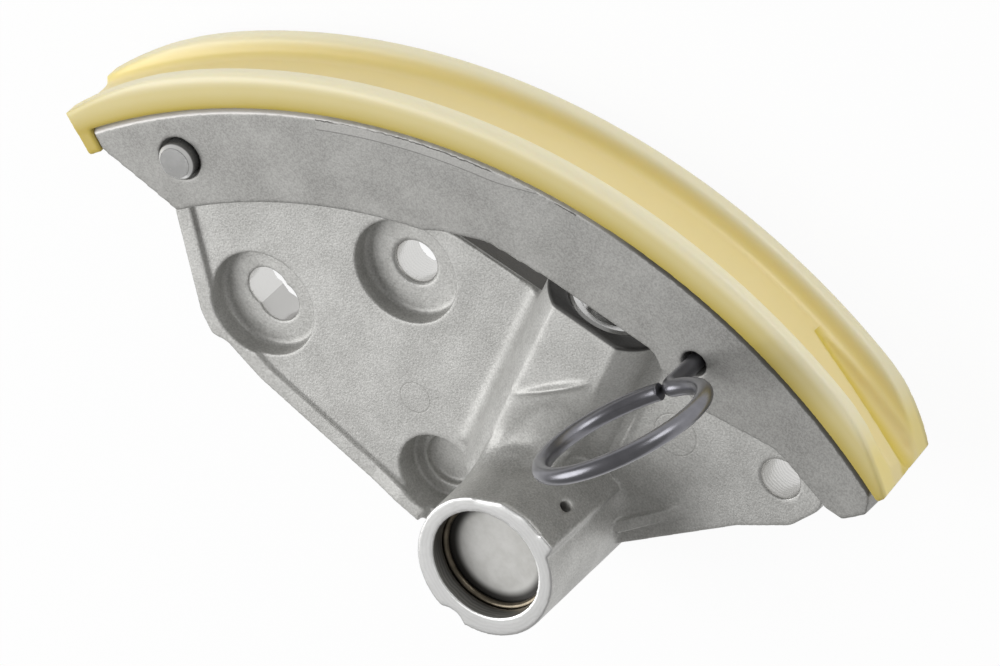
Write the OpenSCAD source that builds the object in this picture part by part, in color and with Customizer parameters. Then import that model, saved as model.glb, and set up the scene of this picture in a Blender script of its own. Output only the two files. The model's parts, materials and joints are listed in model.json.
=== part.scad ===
// Hydraulic timing chain tensioner: a die-cast housing, a swinging lever with a plastic guide shoe,
// an oil-fed piston behind the lever and a wire pin that keeps it closed until it is fitted.
// Millimetres. The origin is on the axis of the upper bolt hole, at the mounting face.
// Z points away from the engine, and Y is the way that the piston pushes.

/* [Mounting plate] */
// Thickness of the plate
plate_t = 10; // [8:0.5:14]
// Height of the rim above the face of the plate
rim_h = 1.2; // [0.6:0.1:2]
// Width of the rim
rim_w = 2.8; // [2:0.1:4]
// Diameter of the bolt holes
bolt_d = 6.8; // [5.5:0.1:7.5]
// Diameter of the spot faces for the bolt heads
spot_d = 17; // [14:0.5:18]
// Depth of the spot faces
spot_depth = 3.1; // [1:0.1:5]
// Radius at the bottom of the spot faces
spot_fillet = 0.8; // [0.3:0.1:1]
// Chamfer at the mouth of the upper bolt hole
bolt_chamfer = 0.5; // [0.2:0.1:1]
// Length by which the lower left bolt hole is drawn out
slot_len = 2.4; // [0.5:0.1:3]
// Place of the slotted bolt hole, to the right
slot_x = -17.5; // [-22:0.5:-14]
// Place of the slotted bolt hole, along the push
slot_y = -20.8; // [-24:0.5:-18]
// Diameter of the locating hole at the right
dowel_d = 6.6; // [5:0.1:8]
// Place of the locating hole, to the right
dowel_x = 64.7; // [60:0.5:70]
// Place of the locating hole, along the push
dowel_y = 8.2; // [5:0.5:10]
// Diameter of the cast pocket beside the reservoir
pocket_d = 12.6; // [9:0.2:14]
// Depth of the cast pocket
pocket_depth = 4.4; // [2:0.1:6]

/* [Piston cylinder] */
// Place of the piston axis, to the right
piston_x = 30; // [27:0.5:33]
// Height of the piston axis above the mounting face
piston_z = 9; // [8.9:0.1:9.6]
// Diameter of the piston
piston_d = 14; // [12:0.2:14.4]
// Running clearance between piston and cylinder, on the radius
piston_gap = 0.05; // [0.02:0.01:0.1]
// Depth of the cylinder
bore_len = 25.5; // [22:0.5:27]
// Place of the open end of the cylinder, along the push
mouth_y = 17.5; // [16:0.5:18]
// Radius of the ridge round the cylinder
ridge_r = 10; // [9:0.2:11]
// Metal left over the top of the cylinder
ridge_roof = 1.2; // [1:0.1:2]
// Radius of the hollow where the ridge meets the plate
ridge_fillet = 3.2; // [1:0.1:4]
// Wall of the hollow piston
piston_wall = 1.6; // [1.2:0.1:2.2]
// Thickness of the piston's crown
crown_t = 3.4; // [2.6:0.1:4.5]

/* [Reservoir] */
// Place of the reservoir tube, to the right
tube_x = 35.3; // [33:0.5:38]
// Place of the reservoir tube, along the push
tube_y = -20.2; // [-24:0.5:-18]
// Height of the reservoir tube above the mounting face
tube_h = 30.6; // [26:0.5:36]
// Outer diameter of the reservoir tube
tube_d = 22.4; // [21.4:0.2:25]
// Diameter of the bore that takes the closing disc
tube_bore_d = 17.6; // [15:0.2:18.4]
// Step under the closing disc, on the radius
seat_step = 0.8; // [0.5:0.1:1.5]
// Depth of the disc's face below the rim of the tube
plug_depth = 4.2; // [2:0.1:5]
// Thickness of the closing disc
plug_t = 2.1; // [1.9:0.1:4]
// Wire of the snap ring
ring_wire = 1.1; // [0.8:0.1:1.4]
// Section of the rubber seal ring
seal_wire = 1.06; // [0.8:0.02:1.2]
// Diameter of the vent hole in the side of the tube
vent_d = 1.9; // [1:0.1:3]
// Extra metal on the lower side of the tube
tube_lobe = 0.8; // [0.3:0.1:1.5]
// Depth of the notch in the lower side of the tube
tube_notch = 1.1; // [0.3:0.1:1.5]

/* [Lever] */
// Place of the pivot, to the right
pivot_x = -36.5; // [-38:0.5:-35]
// Place of the pivot, along the push
pivot_y = -0.6; // [-2:0.2:1]
// Diameter of the pivot pin
pivot_d = 6; // [5:0.1:7]
// Running clearance of the lever on its pin, on the radius
pivot_gap = 0.03; // [0.02:0.01:0.1]
// Length of the pin that stands proud of the lever
pivot_proud = 1.6; // [1:0.1:3]
// Relief round the pin at the face of the lever, on the radius
pivot_relief = 0.45; // [0.2:0.05:1]
// Thickness of the lever
lever_t = 5.6; // [4.5:0.1:8]
// Room between the rim of the plate and the lever
lever_gap = 0.4; // [0.3:0.1:1]
// Radius of the lever's outer edge
lever_r = 100.4; // [99.5:0.1:102]
// Radial width of the lever at its narrow part
lever_w = 15.5; // [14:0.1:16]
// Chamfer along the lever's outer edge
edge_chamfer = 0.7; // [0.3:0.1:1.2]
// Radial thickness of the rail under the shoe
rail_t = 3.8; // [2.5:0.1:4]
// Room between the piston's nose and the lever
nose_gap = 0.1; // [0.05:0.05:0.5]
// Distance from the mouth of the cylinder to the lever's pad
pad_gap = 3.1; // [2.5:0.1:4]

/* [Guide shoe] */
// Width of the shoe
shoe_w = 15.4; // [14:0.2:16.8]
// Thickness of the shoe under the chain
shoe_base = 2.6; // [2:0.1:4]
// Height of the side walls above the chain track
wall_h = 3.2; // [2:0.1:5]
// Thickness of the side walls
wall_t = 2.6; // [1.8:0.1:3.5]
// Height by which the side walls fall towards the right end
right_fall = 4; // [1:0.1:4.5]
// Height by which the side walls fall towards the left end
left_fall = 2.2; // [1:0.1:3]
// Overhang of the shoe in front of the lever
shoe_proud = 0.4; // [0:0.1:1]
// Fitting clearance between shoe and lever
shoe_gap = 0.05; // [0.02:0.01:0.2]
// Width of the relief scoop at the open end
scoop_w = 4.6; // [3:0.1:6]
// Depth of the relief scoop at the open end
scoop_depth = 1; // [0.5:0.1:1.4]

/* [Lock pin] */
// Diameter of the wire
wire_d = 2.7; // [2:0.1:3]
// Place of the pin, to the right
lock_x = 47.1; // [46:0.1:49]
// Place of the pin, along the push
lock_y = 23.1; // [22:0.1:24]
// Diameter of the pin's hole in the lever
lock_hole_d = 4.1; // [3.3:0.1:5]
// Diameter of the pin's hole in the housing
lock_seat_d = 3.4; // [3.2:0.1:4.5]
// Middle diameter of the pull ring
pull_ring_d = 26.4; // [20:0.2:36]
// Free height between the lever and the pull ring
pin_stand = 8.2; // [6:0.1:14]
// Turn of the pull ring about the pin
pull_ring_turn = 52; // [0:1:180]

/* [Hidden] */
$fn = 64;
// Overlap that lets a cut pass cleanly through a face
cut = 1;
arc_steps = 6;

// Step of the plate's edge behind the mouth of the cylinder, on the left
plate_step = 5.9;

// Anchor points in the plane of the plate
pivot = [pivot_x, pivot_y];
slot = [slot_x, slot_y];
dowel = [dowel_x, dowel_y];
tube = [tube_x, tube_y];
lock = [lock_x, lock_y];
pocket = tube + [-17.8, -8.6];
mouth = [piston_x, mouth_y];

// Cast metal round the pivot pin, and the line of the slotted hole
boss_wall = 3.8;
slot_way = [0.93, -0.36];

// Levels above the mounting face
spot_z = plate_t - spot_depth;
rim_z = plate_t + rim_h;
lever_z = rim_z + lever_gap;
lever_top = lever_z + lever_t;
shoe_top = lever_top + shoe_proud;
shoe_back = shoe_top - shoe_w;

// Cylinder and piston
bore_r = piston_d / 2 + piston_gap;
bore_floor = mouth_y - bore_len;
ridge_z = piston_z + bore_r + ridge_roof;
pad_y = mouth_y + pad_gap;
oil_hole_d = 4;

// Check valve, measured along the cylinder from its floor
valve_t = 2.4;
valve_gap = 0.15;
valve_hole_r = 1.4;
ball_r = 2;
ball_lift = 0.03;
cage_wall = 0.5;
cage_gap = 0.9;
cage_rim_r = 5;
cage_h = 5;
seat_cone = 0.8;
ball_h = valve_t - seat_cone - valve_hole_r + ball_r * sqrt(2) + ball_lift;
cage_r = ball_r + cage_gap + cage_wall;
cage_top = valve_t + cage_wall + cage_h;
valve_wire = 0.36;

// Piston, measured along the cylinder from its floor
piston_bottom = valve_t + 0.4;
piston_rim = bore_len - 0.1;
piston_bore_r = piston_d / 2 - piston_wall;
crown_h = piston_rim - crown_t;
nose_h = pad_y - nose_gap - bore_floor;
nose_r = 3.2;
nose_dome = 0.35;
dish_depth = 1.3;
spring_wire = 1.3;
spring_foot = valve_t + cage_wall;
spring_gap = 0.3;
spring_r = piston_bore_r - spring_gap - spring_wire / 2;

// Reservoir
plug_gap = 0.1;
plug_top = tube_h - plug_depth;
plug_seat = plug_top - plug_t - 0.05;
plug_r = tube_bore_d / 2 - plug_gap;
ring_z = plug_top + ring_wire / 2 + 0.05;
ring_groove = ring_wire / 2;
chamber_floor = 5;
chamber_r = tube_bore_d / 2 - seat_step;
oil_inlet_d = 4;
vent_angle = 65;
vent_z = tube_h - 8.6;

// Lever and shoe share one centre
pad_dip = 1;
crown_y = pad_y - pad_dip + lever_w;
arc_centre = [piston_x + 0.2, crown_y - lever_r];
lever_inner_r = lever_r - lever_w;
shoe_r = lever_r + shoe_gap;
track_r = shoe_r + shoe_base;
wall_r = track_r + wall_h;
shoe_from = arc_angle(lock_x + 32.8);
shoe_to = arc_angle(pivot_x - 15.7);
hook_turn = 1.5;
hook_reach = 3.7;
hook_step = 0.06;
tip_angle = shoe_to - hook_turn - 0.08;
tip_w = 3.4;
right_fall_from = arc_angle(lock_x + 17);
left_fall_from = arc_angle(pivot_x + 3);
rail_from = arc_angle(lock_x + 30.2);
rail_to = arc_angle(pivot_x + 7.7);
lip_t = 0.9;
lip_step = 0.2;
rail_z = shoe_back + lip_step + lip_t + shoe_gap;
scoop_from = arc_angle(lock_x + 10.8);
wall_draft = 0.8;
lever_end = shoe_from - 0.7;

// Lock pin
pin_tip = lever_z + 0.3;
bend_r = 2.2;
end_gap = 5;
ring_r = pull_ring_d / 2;
ring_low = lever_top + pin_stand;

// Corner points of the plate, each with its radius, from the pivot round by the lower edge
rim_corners = [
    [each pivot + [-6.6, -4.4], 3],
    [each slot + [-8, -7.6], 2.5],
    [each slot + [-5, -10], 1.5],
    [each slot + [-2.4, -9.6], 2],
    [each slot + [4.8, -11.9], 3],
    [each pocket + [-9.2, -7.4], 6],
    [each pocket + [0.8, -8.9], 5]
];
plate_corners = concat(rim_corners, [
    [each pocket + [9, -6.8], 6],
    [each tube + [3, -12], 7],
    [each tube + [11.8, 0.4], 3],
    [each dowel + [-2.9, -12.3], 9],
    [each dowel + [4.4, -6.4], 4],
    [each dowel + [7.6, -0.5], 4],
    [each dowel + [5.5, 7.5], 4],
    [each lock + [8, -6.5], 4],
    [each lock + [4.6, 4.2], 3.5],
    [each lock + [-4.4, 4.2], 3],
    [each mouth + [9, -2], 1],
    [each mouth + [-9.5, -plate_step], 1],
    [5, 11.4, 2],
    [each pivot + [7.5, 6], 3],
    [each pivot + [-1, 5], 3]
]);

// Lower outline of the lever, from its left tip to its right end, each point with its radius
lever_corners = [
    [each arc_point(lever_r + 6, tip_angle), 0],
    [each arc_point(lever_r - tip_w, tip_angle), 0.8],
    [each pivot + [-4.4, -7.8], 3],
    [each pivot + [4, -8.8], 0],
    [piston_x - 45, pad_y - 18, 0],
    [piston_x - 26, pad_y - 4.2, 8],
    [piston_x - 19, pad_y - 0.8, 6],
    [piston_x - 9, pad_y, 1.2],
    [piston_x + 11, pad_y, 3],
    [lock_x - 2.6, lock_y - 5.9, 3],
    [lock_x + 5, lock_y - 6.3, 4],
    [lock_x + 17, lock_y - 4.6, 9],
    [lock_x + 27.5, lock_y - 8.5, 1.5],
    [lock_x + 30.3, lock_y - 8.4, 1],
    [lock_x + 33.2, lock_y - 5, 1],
    [each arc_point(lever_r - 2, lever_end), 0],
    [each arc_point(lever_r + 6, lever_end), 0],
    [lock_x + 10, lock_y + 30, 0],
    [piston_x - 10, pad_y + 35, 0],
    [pivot_x, pivot_y + 40, 0],
    [each pivot + [-23, 12], 0]
];

function unit(v) = v / norm(v);
// Angle on the lever's outer edge at a place along X
function arc_angle(x) = acos((x - arc_centre[0]) / lever_r);
// Point at a radius and angle about the lever's centre
function arc_point(r, angle) = arc_centre + r * [cos(angle), sin(angle)];
// Shift of centre that makes a circle fall by a height over an angle, inside the circle that it touches
function fall_shift(r, height, angle) = height * r / ((1 - cos(angle)) * r + height);
function flat(p) = [p[0], p[1]];

// Points of one rounded corner between its neighbours
function corner(before, at, after) =
    let (
        u = unit(flat(before) - flat(at)),
        w = unit(flat(after) - flat(at)),
        half = acos(u * w) / 2,
        r = at[2],
        centre = flat(at) + unit(u + w) * r / sin(half),
        start = flat(at) + u * r / tan(half) - centre,
        end = flat(at) + w * r / tan(half) - centre,
        from = atan2(start[1], start[0]),
        turn = atan2(start[0] * end[1] - start[1] * end[0], start * end)
    )
    r == 0 ? [flat(at)]
    : [for (i = [0:arc_steps]) let (a = from + turn * i / arc_steps) centre + r * [cos(a), sin(a)]];

// A closed outline with its corners rounded
function rounded(corners) =
    let (n = len(corners))
    [for (i = [0:n - 1]) each corner(corners[(i + n - 1) % n], corners[i], corners[(i + 1) % n])];

// Inward step of an open outline, at each of its corners
function inset(path, d) =
    [for (i = [0:len(path) - 1])
        let (
            a = unit(flat(path[min(i + 1, len(path) - 1)]) - flat(path[min(i, len(path) - 2)])),
            b = unit(flat(path[max(i, 1)]) - flat(path[max(i - 1, 0)])),
            side = unit([-a[1], a[0]] + [-b[1], b[0]])
        )
        [each flat(path[i]) + side * d / (side * [-a[1], a[0]]), path[i][2]]];

// The same path with sharp ends
function open_ends(path) =
    [for (i = [0:len(path) - 1]) [each flat(path[i]), i == 0 || i == len(path) - 1 ? 0 : path[i][2]]];

function backwards(list) = [for (i = [len(list) - 1:-1:0]) list[i]];

// Closed tube of a round wire along a list of points, each with the ring's own two directions
module wire(rings, r, sides) {
    n = len(rings);
    points = [for (ring = rings) for (k = [0:sides - 1])
        ring[0] + r * (cos(360 * k / sides) * ring[1] + sin(360 * k / sides) * ring[2])];
    walls = [for (i = [0:n - 2]) for (k = [0:sides - 1])
        let (a = i * sides + k, b = i * sides + (k + 1) % sides)
        each [[a, b, a + sides], [b, b + sides, a + sides]]];
    first = [[for (k = [sides - 1:-1:0]) k]];
    last = [[for (k = [0:sides - 1]) (n - 1) * sides + k]];
    polyhedron(points, concat(walls, first, last), convexity = 6);
}

// Coil spring standing on its foot, with one closed turn at each end
module coil(r, wire_r, height, turns, steps, sides) {
    count = turns * steps;
    rise = height - 2 * wire_r;
    free = turns - 2;
    pitch = (rise - 4 * wire_r) / free;
    rings = [for (i = [0:count])
        let (
            t = i / steps,
            z = t < 1 ? 2 * wire_r * t
                : t > turns - 1 ? rise - 2 * wire_r * (turns - t)
                : 2 * wire_r + pitch * (t - 1),
            a = 360 * t
        )
        [[r * cos(a), r * sin(a), z + wire_r], [cos(a), sin(a), 0], [0, 0, 1]]];
    wire(rings, wire_r, sides);
}

// Places a piece that is drawn upright along the cylinder, standing on the cylinder's floor
module along_cylinder() {
    translate([piston_x, bore_floor, piston_z]) rotate([-90, 0, 0]) children();
}

module plate_rim() {
    outer = open_ends(rim_corners);
    inner = backwards(inset(outer, rim_w));
    linear_extrude(rim_z) polygon(rounded(concat(outer, inner)));
}

// Raised ridge round the cylinder, with a flat top
module ridge() {
    length = mouth_y - tube_y;
    intersection() {
        translate([piston_x, tube_y, piston_z]) rotate([-90, 0, 0]) cylinder(r = ridge_r, h = length);
        translate([piston_x - ridge_r - cut, tube_y - cut, 0])
            cube([2 * (ridge_r + cut), length + 2 * cut, ridge_z]);
    }
}

// Hollow along both sides of the ridge, which runs smoothly into the ridge and the plate
module ridge_foot() {
    lap = 0.06;
    set_back = 0.4;
    rise = plate_t - piston_z + ridge_fillet;
    reach = ridge_r + ridge_fillet;
    foot_x = sqrt(reach * reach - rise * rise);
    foot_h = rise * ridge_r / reach - plate_t + piston_z;
    for (side = [0, 1]) {
        front = mouth_y - set_back - side * plate_step;
        translate([piston_x, front, plate_t]) mirror([side, 0, 0]) rotate([90, 0, 0])
            linear_extrude(front - tube_y) difference() {
                translate([0, -cut]) square([foot_x - lap, foot_h + cut]);
                translate([foot_x - lap, ridge_fillet - lap]) circle(r = ridge_fillet);
            }
    }
}

// Round notch down the lower side of the reservoir tube
module tube_notch_cut() {
    notch_r = 3.2;
    translate([tube_x - 1.5, tube_y - tube_d / 2 - tube_lobe + tube_notch - notch_r, plate_t + cut])
        cylinder(r = notch_r, h = tube_h);
}

// Hollow sweep where the reservoir tube grows out of the ridge
module tube_root() {
    root = 5;
    intersection() {
        translate([tube_x, tube_y, ridge_z - cut]) rotate_extrude() difference() {
            square([tube_d / 2 + root, root + cut]);
            translate([tube_d / 2 + root, root + cut]) circle(r = root);
        }
        translate([piston_x - ridge_r * 0.56, tube_y, 0])
            cube([ridge_r * 1.12, tube_d / 2 + root, tube_h]);
    }
}

// Sweep where the reservoir tube stands on the plate
module tube_foot() {
    foot = 2.4;
    translate([tube_x, tube_y, plate_t - cut]) intersection() {
        rotate_extrude() difference() {
            square([tube_d / 2 + foot, foot + cut]);
            translate([tube_d / 2 + foot, foot + cut]) circle(r = foot);
        }
        translate([-tube_d, tube_d * 0.2, 0]) cube([tube_d * 2, tube_d, foot + cut]);
    }
}

// Shoulder on the upper side of the reservoir tube, which ends in a blunt corner
module tube_shoulder() {
    r = tube_d / 2;
    translate([tube_x, tube_y, 0]) linear_extrude(tube_h) polygon(rounded([
        [0, 0, 0], [-r * 0.56, r * 0.82, 0], [-r * 0.17, r * 1.05, 2], [r * 0.24, r * 1.06, 2],
        [r * 0.75, r * 0.88, 0.8], [r * 0.7, r * 0.68, 0]
    ]));
}

// Tapered stiffening rib on the lower edge of the plate
module edge_rib() {
    rib_w = 1.8;
    rib_h = 2.2;
    rib_len = 12;
    translate([each tube + [10.6, 4], plate_t - cut]) rotate([0, 0, 48]) rotate([90, 0, 0])
        linear_extrude(rib_w, center = true)
        polygon([[0, 0], [rib_len, 0], [rib_len, cut], [0, rib_h + cut]]);
}

// Low crest that crosses the top of the ridge
module ridge_crest() {
    crest_w = 1.2;
    crest_h = 0.7;
    crest_len = 14.5;
    translate([piston_x - 5.5, mouth_y - 19, ridge_z - cut]) rotate([0, 0, 46]) rotate([90, 0, 90])
        linear_extrude(crest_len) polygon([[-crest_w, 0], [crest_w, 0], [crest_w, cut], [0, cut + crest_h],
            [-crest_w, cut]]);
}

// Turned seat for a bolt head, with a rounded bottom corner
module spot_face() {
    r = spot_d / 2;
    top = rim_z + cut;
    rotate_extrude() polygon(rounded([[0, spot_z, 0], [r, spot_z, spot_fillet], [r, top, 0], [0, top, 0]]));
}

module bolt_holes() {
    translate([0, 0, -cut]) cylinder(d = bolt_d, h = plate_t + 2 * cut);
    spot_face();
    translate([0, 0, spot_z - bolt_chamfer])
        cylinder(d1 = bolt_d, d2 = bolt_d + 2 * bolt_chamfer, h = bolt_chamfer);
    for (side = [-0.5, 0.5]) translate([each slot + side * slot_len * slot_way, -cut])
        cylinder(d = bolt_d, h = plate_t + 2 * cut);
    translate([each slot, 0]) spot_face();
    translate([each dowel, -cut]) cylinder(d = dowel_d, h = plate_t + 2 * cut);
}

module reservoir_bore() {
    translate([each tube, chamber_floor]) cylinder(r = chamber_r, h = tube_h);
    translate([each tube, plug_seat]) cylinder(d = tube_bore_d, h = tube_h);
    translate([each tube, ring_z]) rotate_extrude()
        translate([0, -ring_wire * 0.6]) square([tube_bore_d / 2 + ring_groove, ring_wire * 1.2]);
    translate([each tube, -cut]) cylinder(d = oil_inlet_d, h = chamber_floor + 2 * cut);
    translate([each tube, vent_z]) rotate([0, 90, vent_angle])
        translate([0, 0, chamber_r - cut]) cylinder(d = vent_d, h = tube_d / 2 - chamber_r + 2 * cut);
}

module cylinder_bore() {
    translate([piston_x, bore_floor, piston_z]) rotate([-90, 0, 0]) cylinder(r = bore_r, h = bore_len + cut);
    translate([piston_x, tube_y, piston_z]) rotate([-90, 0, 0])
        cylinder(d = oil_hole_d, h = bore_floor - tube_y + cut);
}

// Blind pocket with a deeper middle
module cast_pocket() {
    middle_d = pocket_d * 0.66;
    middle_step = 1.2;
    translate([each pocket, plate_t - pocket_depth]) cylinder(d = pocket_d, h = pocket_depth + rim_h + cut);
    translate([each pocket, plate_t - pocket_depth - middle_step]) cylinder(d = middle_d, h = pocket_depth);
}

module housing() {
    color([0.72, 0.72, 0.70]) difference() {
        union() {
            linear_extrude(plate_t) polygon(rounded(plate_corners));
            plate_rim();
            translate([each pivot, 0]) cylinder(r = pivot_d / 2 + boss_wall, h = rim_z + lever_gap / 2);
            ridge();
            ridge_foot();
            for (shift = [0, tube_lobe]) translate([tube_x, tube_y - shift, 0])
                cylinder(d = tube_d, h = tube_h);
            tube_shoulder();
            tube_root();
            tube_foot();
            edge_rib();
            ridge_crest();
        }
        bolt_holes();
        cast_pocket();
        tube_notch_cut();
        reservoir_bore();
        cylinder_bore();
        translate([each pivot, -cut]) cylinder(d = pivot_d, h = plate_t + rim_h + 2 * cut);
        translate([each lock, -cut]) cylinder(d = lock_seat_d, h = plate_t + 2 * cut);
    }
}

// Ring sector about the lever's centre
module sector(inner, outer, low, high, from, to) {
    translate([each arc_centre, low]) rotate([0, 0, from])
        rotate_extrude(angle = to - from) translate([inner, 0]) square([outer - inner, high - low]);
}

// Slanting cut along the lever's upper outer edge
module lever_chamfer() {
    reach = edge_chamfer + cut;
    translate([each arc_centre, lever_top]) rotate([0, 0, lever_end - cut])
        rotate_extrude(angle = shoe_to - lever_end + 2 * cut)
        polygon([[lever_r - reach, cut], [lever_r + cut, cut], [lever_r + cut, -reach]]);
}

module lever() {
    color([0.62, 0.62, 0.60]) difference() {
        union() {
            translate([0, 0, lever_z]) linear_extrude(lever_t) difference() {
                intersection() {
                    polygon(rounded(lever_corners));
                    translate(arc_centre) circle(r = lever_r);
                }
                translate(arc_centre) circle(r = lever_inner_r);
            }
            sector(lever_r - rail_t, lever_r, rail_z, lever_z + cut, rail_from, rail_to);
        }
        translate([each pivot, -cut]) cylinder(r = pivot_d / 2 + pivot_gap, h = lever_top + 2 * cut);
        translate([each pivot, lever_top - 2 * pivot_relief])
            cylinder(r = pivot_d / 2 + pivot_relief, h = 2 * pivot_relief + cut);
        lever_chamfer();
        translate([each lock, -cut]) cylinder(d = lock_hole_d, h = lever_top + 2 * cut);
    }
}

// Section of the shoe, radius to the right and width upward
module shoe_section() {
    edge = 0.3;
    soft = wall_t * 0.45;
    hollow = min(1.8, wall_h * 0.55);
    polygon(rounded([
        [shoe_r, 0, edge], [wall_r, 0, soft], [wall_r, wall_t, soft],
        [track_r, wall_t + wall_draft, hollow], [track_r, shoe_w - wall_t - wall_draft, hollow],
        [wall_r, shoe_w - wall_t, soft], [wall_r, shoe_w, soft], [shoe_r, shoe_w, edge]
    ]));
}

// What lies above a curve that falls from the top of the walls towards one end
module wall_fall(from, to, height) {
    shift = fall_shift(wall_r, height, abs(to - from));
    past = to > from ? to + cut : to - cut;
    difference() {
        sector(track_r - height, wall_r + cut, shoe_back - cut, shoe_top + cut,
            min(from, past), max(from, past));
        translate([each arc_point(shift, from), shoe_back - 2 * cut])
            cylinder(r = wall_r - shift, h = shoe_w + 4 * cut);
    }
}

// Tapered scoop along the chain track, which widens towards the open end
module relief_scoop() {
    r_start = 0.7;
    r_end = (scoop_w * scoop_w / 4 + scoop_depth * scoop_depth) / (2 * scoop_depth);
    start = [each arc_point(track_r + r_start - 0.15, scoop_from), shoe_back + shoe_w * 0.34];
    end = [each arc_point(track_r + r_end - scoop_depth, shoe_from - cut), shoe_back + shoe_w * 0.43];
    run = end - start;
    length = norm(run);
    translate(start) rotate([0, acos(run[2] / length), atan2(run[1], run[0])])
        cylinder(r1 = r_start, r2 = r_end, h = length);
}

module guide_shoe() {
    color([0.93, 0.86, 0.58]) difference() {
        union() {
            translate([each arc_centre, shoe_back]) rotate([0, 0, shoe_from])
                rotate_extrude(angle = shoe_to - shoe_from) shoe_section();
            sector(shoe_r - hook_reach, shoe_r + cut, shoe_back + shoe_w * 0.3, shoe_top - hook_step,
                shoe_to - hook_turn, shoe_to - hook_step);
            sector(shoe_r - rail_t, shoe_r + cut, shoe_back + lip_step, shoe_back + lip_step + lip_t,
                rail_from + 2, rail_to - 2);
        }
        wall_fall(right_fall_from, shoe_from, right_fall);
        wall_fall(left_fall_from, shoe_to, left_fall);
        relief_scoop();
    }
}

module pivot_pin() {
    soft = 0.6;
    top = lever_top + pivot_proud;
    color([0.80, 0.80, 0.80]) translate([each pivot, 0.5]) rotate_extrude()
        polygon([[0, 0], [pivot_d / 2 - soft, 0], [pivot_d / 2, soft], [pivot_d / 2, top - 0.5 - soft],
            [pivot_d / 2 - soft, top - 0.5], [0, top - 0.5]]);
}

module piston() {
    r = piston_d / 2;
    soft = 0.7;
    color([0.78, 0.78, 0.78]) along_cylinder() rotate_extrude() polygon([
        [piston_bore_r, piston_bottom], [r - 0.3, piston_bottom], [r, piston_bottom + 0.3],
        [r, piston_rim - soft], [r - soft, piston_rim], [r - 1.6, piston_rim],
        [nose_r + 1, piston_rim - dish_depth], [nose_r, piston_rim - dish_depth],
        [nose_r, nose_h - nose_dome - 0.4], [nose_r * 0.7, nose_h - nose_dome], [nose_r * 0.4, nose_h],
        [0, nose_h], [0, crown_h], [piston_bore_r, crown_h]
    ]);
}

module piston_spring() {
    color([0.55, 0.56, 0.58]) along_cylinder() translate([0, 0, spring_foot])
        coil(spring_r, spring_wire / 2, crown_h - spring_foot - 0.05, 8, 16, 8);
}

module valve_seat() {
    color([0.66, 0.64, 0.60]) along_cylinder() rotate_extrude() polygon([
        [valve_hole_r, 0], [bore_r - valve_gap, 0], [bore_r - valve_gap, valve_t],
        [valve_hole_r + seat_cone, valve_t], [valve_hole_r, valve_t - seat_cone]
    ]);
}

module valve_ball() {
    color([0.85, 0.85, 0.86]) along_cylinder() translate([0, 0, ball_h]) sphere(r = ball_r);
}

module valve_cage() {
    port_w = 1.6;
    color([0.70, 0.70, 0.66]) along_cylinder() difference() {
        rotate_extrude() polygon([
            [cage_r - cage_wall, valve_t], [cage_rim_r, valve_t], [cage_rim_r, valve_t + cage_wall],
            [cage_r, valve_t + cage_wall], [cage_r, cage_top], [cage_r * 0.3, cage_top],
            [cage_r * 0.3, cage_top - cage_wall], [cage_r - cage_wall, cage_top - cage_wall]
        ]);
        for (turn = [0, 90]) rotate([0, 0, turn])
            translate([-cage_r - cut, -port_w / 2, valve_t + 1.4]) cube([2 * (cage_r + cut), port_w, 2]);
    }
}

module valve_spring() {
    foot = ball_h + ball_r * 0.92;
    color([0.6, 0.6, 0.62]) along_cylinder() translate([0, 0, foot])
        coil(ball_r * 0.7, valve_wire / 2, cage_top - cage_wall - foot - 0.05, 4, 12, 6);
}

module bore_plug() {
    groove = plug_r - seal_wire;
    middle = plug_t / 2;
    soft = 0.25;
    crown = 0.35;
    color([0.74, 0.73, 0.70]) translate([each tube, plug_top - plug_t]) rotate_extrude() polygon(rounded([
        [0, 0, 0], [plug_r - soft, 0, 0], [plug_r, soft, 0], [plug_r, middle - seal_wire * 0.55, 0],
        [groove, middle - seal_wire * 0.55, 0], [groove, middle + seal_wire * 0.55, 0],
        [plug_r, middle + seal_wire * 0.55, 0], [plug_r, plug_t, crown], [0, plug_t, 0]
    ]));
}

module plug_seal() {
    color([0.12, 0.12, 0.12]) translate([each tube, plug_top - plug_t / 2]) rotate_extrude()
        translate([plug_r - seal_wire / 2 + 0.03, 0]) circle(d = seal_wire - 0.02);
}

module plug_ring() {
    open = 24;
    color([0.50, 0.42, 0.32]) translate([each tube, ring_z]) rotate([0, 0, open / 2 + 75])
        rotate_extrude(angle = 360 - open)
        translate([tube_bore_d / 2 - ring_wire / 2 + ring_groove - 0.1, 0]) circle(d = ring_wire);
}

// Straight pin, a bend out to one side and a ring that closes over the pin
module lock_pin() {
    wire_r = wire_d / 2;
    sides = 14;
    bend_steps = 6;
    ring_steps = 56;
    middle = ring_low + ring_r;
    lead = asin(bend_r / (ring_r + bend_r));
    bend_z = middle - (ring_r + bend_r) * cos(lead);
    root = [[[0, 0, bend_z - wire_r / 2], [-1, 0, 0], [0, 1, 0]]];
    bend = [for (i = [0:bend_steps])
        let (a = 180 - (90 - lead) * i / bend_steps, u = [cos(a), 0, sin(a)])
        [[bend_r, 0, bend_z] + bend_r * u, u, [0, 1, 0]]];
    ring = [for (i = [1:ring_steps])
        let (a = lead - 90 + (360 - lead - end_gap) * i / ring_steps, u = [cos(a), 0, sin(a)])
        [[0, 0, middle] + ring_r * u, -u, [0, 1, 0]]];
    color([0.42, 0.42, 0.45]) translate([each lock, 0]) rotate([0, 0, pull_ring_turn]) {
        translate([0, 0, pin_tip]) cylinder(d1 = wire_d * 0.6, d2 = wire_d, h = wire_r * 0.5);
        translate([0, 0, pin_tip + wire_r * 0.5]) cylinder(d = wire_d, h = bend_z - pin_tip - wire_r * 0.5);
        wire(concat(root, bend, ring), wire_r * 0.99, sides);
    }
}

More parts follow.
